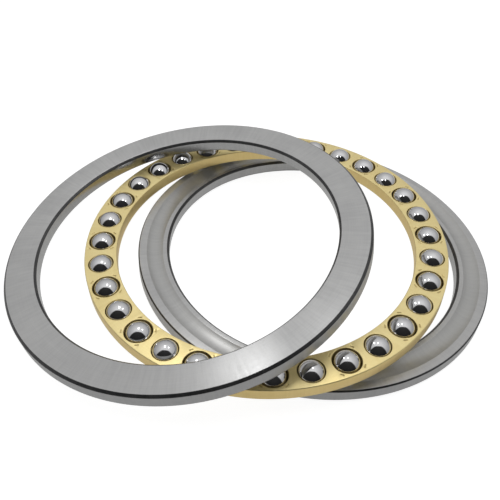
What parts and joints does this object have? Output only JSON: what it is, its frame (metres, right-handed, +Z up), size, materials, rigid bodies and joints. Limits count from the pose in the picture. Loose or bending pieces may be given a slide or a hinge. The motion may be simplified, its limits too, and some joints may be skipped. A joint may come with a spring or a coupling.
{
  "type": "thrust ball bearing",
  "caption": "Single-direction thrust ball bearing laid out in pieces: grooved housing washer, machined cage with its balls, and shaft washer.",
  "frame": {"origin": "bottom centre of the bounding box of the laid-out pieces, on the surface they lie on", "axes": "+Z up; +X from the shaft washer's low edge towards the housing washer, the longest extent; +Y across the fan"},
  "size_m": [0.3616, 0.2976, 0.0656],
  "materials": {
    "washer_steel": "ground satin, with fine concentric marks",
    "cage_brass": "machined satin",
    "ball_steel": "mirror polished"
  },
  "bodies": {
    "housing_washer": {"housing_washer": "washer_steel"},
    "shaft_washer": {"shaft_washer": "washer_steel"},
    "cage": {"cage": "cage_brass"},
    "ball_01": {"ball_01": "ball_steel"},
    "ball_02": {"ball_02": "ball_steel"},
    "ball_03": {"ball_03": "ball_steel"},
    "ball_04": {"ball_04": "ball_steel"},
    "ball_05": {"ball_05": "ball_steel"},
    "ball_06": {"ball_06": "ball_steel"},
    "ball_07": {"ball_07": "ball_steel"},
    "ball_08": {"ball_08": "ball_steel"},
    "ball_09": {"ball_09": "ball_steel"},
    "ball_10": {"ball_10": "ball_steel"},
    "ball_11": {"ball_11": "ball_steel"},
    "ball_12": {"ball_12": "ball_steel"},
    "ball_13": {"ball_13": "ball_steel"},
    "ball_14": {"ball_14": "ball_steel"},
    "ball_15": {"ball_15": "ball_steel"},
    "ball_16": {"ball_16": "ball_steel"},
    "ball_17": {"ball_17": "ball_steel"},
    "ball_18": {"ball_18": "ball_steel"},
    "ball_19": {"ball_19": "ball_steel"},
    "ball_20": {"ball_20": "ball_steel"},
    "ball_21": {"ball_21": "ball_steel"},
    "ball_22": {"ball_22": "ball_steel"},
    "ball_23": {"ball_23": "ball_steel"},
    "ball_24": {"ball_24": "ball_steel"},
    "ball_25": {"ball_25": "ball_steel"},
    "ball_26": {"ball_26": "ball_steel"},
    "ball_27": {"ball_27": "ball_steel"},
    "ball_28": {"ball_28": "ball_steel"},
    "ball_29": {"ball_29": "ball_steel"},
    "ball_30": {"ball_30": "ball_steel"},
    "ball_31": {"ball_31": "ball_steel"},
    "ball_32": {"ball_32": "ball_steel"}
  },
  "joints": [
    {"name": "shaft_washer_spin", "type": "hinge", "parent": "housing_washer", "child": "shaft_washer", "pos_m": [-0.0503, -0.01564, 0.03837], "axis": [-0.1978, -0.0596, 0.9784], "continuous": true},
    {"name": "cage_spin", "type": "hinge", "parent": "housing_washer", "child": "cage", "pos_m": [0.00827, 0.00056, 0.02237], "axis": [-0.0685, -0.0239, 0.9974], "continuous": true},
    {"name": "ball_01_spin", "type": "hinge", "parent": "cage", "child": "ball_01", "pos_m": [0.13012, 0.00981, 0.03096], "axis": [0.9947, 0.0755, 0.0701], "continuous": true},
    {"name": "ball_02_spin", "type": "hinge", "parent": "cage", "child": "ball_02", "pos_m": [0.12594, 0.03346, 0.03124], "axis": [0.9605, 0.2686, 0.0724], "continuous": true},
    {"name": "ball_03_spin", "type": "hinge", "parent": "cage", "child": "ball_03", "pos_m": [0.11723, 0.05584, 0.03118], "axis": [0.8895, 0.4513, 0.0719], "continuous": true},
    {"name": "ball_04_spin", "type": "hinge", "parent": "cage", "child": "ball_04", "pos_m": [0.10434, 0.0761, 0.03078], "axis": [0.7843, 0.6166, 0.0686], "continuous": true},
    {"name": "ball_05_spin", "type": "hinge", "parent": "cage", "child": "ball_05", "pos_m": [0.08776, 0.09345, 0.03006], "axis": [0.6489, 0.7583, 0.0627], "continuous": true},
    {"name": "ball_06_spin", "type": "hinge", "parent": "cage", "child": "ball_06", "pos_m": [0.06812, 0.10723, 0.02904], "axis": [0.4886, 0.8708, 0.0544], "continuous": true},
    {"name": "ball_07_spin", "type": "hinge", "parent": "cage", "child": "ball_07", "pos_m": [0.04618, 0.11692, 0.02776], "axis": [0.3095, 0.9499, 0.044], "continuous": true},
    {"name": "ball_08_spin", "type": "hinge", "parent": "cage", "child": "ball_08", "pos_m": [0.02279, 0.12213, 0.02628], "axis": [0.1185, 0.9924, 0.0319], "continuous": true},
    {"name": "ball_09_spin", "type": "hinge", "parent": "cage", "child": "ball_09", "pos_m": [-0.00116, 0.12268, 0.02465], "axis": [-0.077, 0.9969, 0.0186], "continuous": true},
    {"name": "ball_10_spin", "type": "hinge", "parent": "cage", "child": "ball_10", "pos_m": [-0.02475, 0.11852, 0.02293], "axis": [-0.2696, 0.963, 0.0046], "continuous": true},
    {"name": "ball_11_spin", "type": "hinge", "parent": "cage", "child": "ball_11", "pos_m": [-0.04707, 0.10984, 0.02119], "axis": [-0.4518, 0.8921, -0.0096], "continuous": true},
    {"name": "ball_12_spin", "type": "hinge", "parent": "cage", "child": "ball_12", "pos_m": [-0.06727, 0.09695, 0.01949], "axis": [-0.6166, 0.7869, -0.0235], "continuous": true},
    {"name": "ball_13_spin", "type": "hinge", "parent": "cage", "child": "ball_13", "pos_m": [-0.08456, 0.08037, 0.01791], "axis": [-0.7578, 0.6515, -0.0364], "continuous": true},
    {"name": "ball_14_spin", "type": "hinge", "parent": "cage", "child": "ball_14", "pos_m": [-0.09828, 0.06071, 0.0165], "axis": [-0.8698, 0.491, -0.048], "continuous": true},
    {"name": "ball_15_spin", "type": "hinge", "parent": "cage", "child": "ball_15", "pos_m": [-0.10791, 0.03874, 0.01531], "axis": [-0.9484, 0.3117, -0.0577], "continuous": true},
    {"name": "ball_16_spin", "type": "hinge", "parent": "cage", "child": "ball_16", "pos_m": [-0.11308, 0.01531, 0.01439], "axis": [-0.9906, 0.1204, -0.0651], "continuous": true},
    {"name": "ball_17_spin", "type": "hinge", "parent": "cage", "child": "ball_17", "pos_m": [-0.11358, -0.00869, 0.01378], "axis": [-0.9947, -0.0755, -0.0701], "continuous": true},
    {"name": "ball_18_spin", "type": "hinge", "parent": "cage", "child": "ball_18", "pos_m": [-0.1094, -0.03234, 0.0135], "axis": [-0.9605, -0.2686, -0.0724], "continuous": true},
    {"name": "ball_19_spin", "type": "hinge", "parent": "cage", "child": "ball_19", "pos_m": [-0.10069, -0.05472, 0.01356], "axis": [-0.8895, -0.4513, -0.0719], "continuous": true},
    {"name": "ball_20_spin", "type": "hinge", "parent": "cage", "child": "ball_20", "pos_m": [-0.0878, -0.07498, 0.01396], "axis": [-0.7843, -0.6166, -0.0686], "continuous": true},
    {"name": "ball_21_spin", "type": "hinge", "parent": "cage", "child": "ball_21", "pos_m": [-0.07122, -0.09233, 0.01468], "axis": [-0.6489, -0.7583, -0.0627], "continuous": true},
    {"name": "ball_22_spin", "type": "hinge", "parent": "cage", "child": "ball_22", "pos_m": [-0.05158, -0.10612, 0.0157], "axis": [-0.4886, -0.8708, -0.0544], "continuous": true},
    {"name": "ball_23_spin", "type": "hinge", "parent": "cage", "child": "ball_23", "pos_m": [-0.02964, -0.1158, 0.01698], "axis": [-0.3095, -0.9499, -0.044], "continuous": true},
    {"name": "ball_24_spin", "type": "hinge", "parent": "cage", "child": "ball_24", "pos_m": [-0.00625, -0.12101, 0.01846], "axis": [-0.1185, -0.9924, -0.0319], "continuous": true},
    {"name": "ball_25_spin", "type": "hinge", "parent": "cage", "child": "ball_25", "pos_m": [0.0177, -0.12155, 0.02009], "axis": [0.077, -0.9969, -0.0186], "continuous": true},
    {"name": "ball_26_spin", "type": "hinge", "parent": "cage", "child": "ball_26", "pos_m": [0.04129, -0.1174, 0.02181], "axis": [0.2696, -0.963, -0.0046], "continuous": true},
    {"name": "ball_27_spin", "type": "hinge", "parent": "cage", "child": "ball_27", "pos_m": [0.06362, -0.10872, 0.02355], "axis": [0.4518, -0.8921, 0.0096], "continuous": true},
    {"name": "ball_28_spin", "type": "hinge", "parent": "cage", "child": "ball_28", "pos_m": [0.08381, -0.09583, 0.02525], "axis": [0.6166, -0.7869, 0.0235], "continuous": true},
    {"name": "ball_29_spin", "type": "hinge", "parent": "cage", "child": "ball_29", "pos_m": [0.1011, -0.07925, 0.02683], "axis": [0.7578, -0.6515, 0.0364], "continuous": true},
    {"name": "ball_30_spin", "type": "hinge", "parent": "cage", "child": "ball_30", "pos_m": [0.11482, -0.05959, 0.02824], "axis": [0.8698, -0.491, 0.048], "continuous": true},
    {"name": "ball_31_spin", "type": "hinge", "parent": "cage", "child": "ball_31", "pos_m": [0.12445, -0.03762, 0.02943], "axis": [0.9484, -0.3117, 0.0577], "continuous": true},
    {"name": "ball_32_spin", "type": "hinge", "parent": "cage", "child": "ball_32", "pos_m": [0.12962, -0.01419, 0.03035], "axis": [0.9906, -0.1204, 0.0651], "continuous": true}
  ],
  "couplings": [
    {"joint": "cage_spin", "follows": "shaft_washer_spin", "ratio": 0.5},
    {"joint": "ball_01_spin", "follows": "shaft_washer_spin", "ratio": -6.4304},
    {"joint": "ball_02_spin", "follows": "shaft_washer_spin", "ratio": -6.4304},
    {"joint": "ball_03_spin", "follows": "shaft_washer_spin", "ratio": -6.4304},
    {"joint": "ball_04_spin", "follows": "shaft_washer_spin", "ratio": -6.4304},
    {"joint": "ball_05_spin", "follows": "shaft_washer_spin", "ratio": -6.4304},
    {"joint": "ball_06_spin", "follows": "shaft_washer_spin", "ratio": -6.4304},
    {"joint": "ball_07_spin", "follows": "shaft_washer_spin", "ratio": -6.4304},
    {"joint": "ball_08_spin", "follows": "shaft_washer_spin", "ratio": -6.4304},
    {"joint": "ball_09_spin", "follows": "shaft_washer_spin", "ratio": -6.4304},
    {"joint": "ball_10_spin", "follows": "shaft_washer_spin", "ratio": -6.4304},
    {"joint": "ball_11_spin", "follows": "shaft_washer_spin", "ratio": -6.4304},
    {"joint": "ball_12_spin", "follows": "shaft_washer_spin", "ratio": -6.4304},
    {"joint": "ball_13_spin", "follows": "shaft_washer_spin", "ratio": -6.4304},
    {"joint": "ball_14_spin", "follows": "shaft_washer_spin", "ratio": -6.4304},
    {"joint": "ball_15_spin", "follows": "shaft_washer_spin", "ratio": -6.4304},
    {"joint": "ball_16_spin", "follows": "shaft_washer_spin", "ratio": -6.4304},
    {"joint": "ball_17_spin", "follows": "shaft_washer_spin", "ratio": -6.4304},
    {"joint": "ball_18_spin", "follows": "shaft_washer_spin", "ratio": -6.4304},
    {"joint": "ball_19_spin", "follows": "shaft_washer_spin", "ratio": -6.4304},
    {"joint": "ball_20_spin", "follows": "shaft_washer_spin", "ratio": -6.4304},
    {"joint": "ball_21_spin", "follows": "shaft_washer_spin", "ratio": -6.4304},
    {"joint": "ball_22_spin", "follows": "shaft_washer_spin", "ratio": -6.4304},
    {"joint": "ball_23_spin", "follows": "shaft_washer_spin", "ratio": -6.4304},
    {"joint": "ball_24_spin", "follows": "shaft_washer_spin", "ratio": -6.4304},
    {"joint": "ball_25_spin", "follows": "shaft_washer_spin", "ratio": -6.4304},
    {"joint": "ball_26_spin", "follows": "shaft_washer_spin", "ratio": -6.4304},
    {"joint": "ball_27_spin", "follows": "shaft_washer_spin", "ratio": -6.4304},
    {"joint": "ball_28_spin", "follows": "shaft_washer_spin", "ratio": -6.4304},
    {"joint": "ball_29_spin", "follows": "shaft_washer_spin", "ratio": -6.4304},
    {"joint": "ball_30_spin", "follows": "shaft_washer_spin", "ratio": -6.4304},
    {"joint": "ball_31_spin", "follows": "shaft_washer_spin", "ratio": -6.4304},
    {"joint": "ball_32_spin", "follows": "shaft_washer_spin", "ratio": -6.4304}
  ]
}
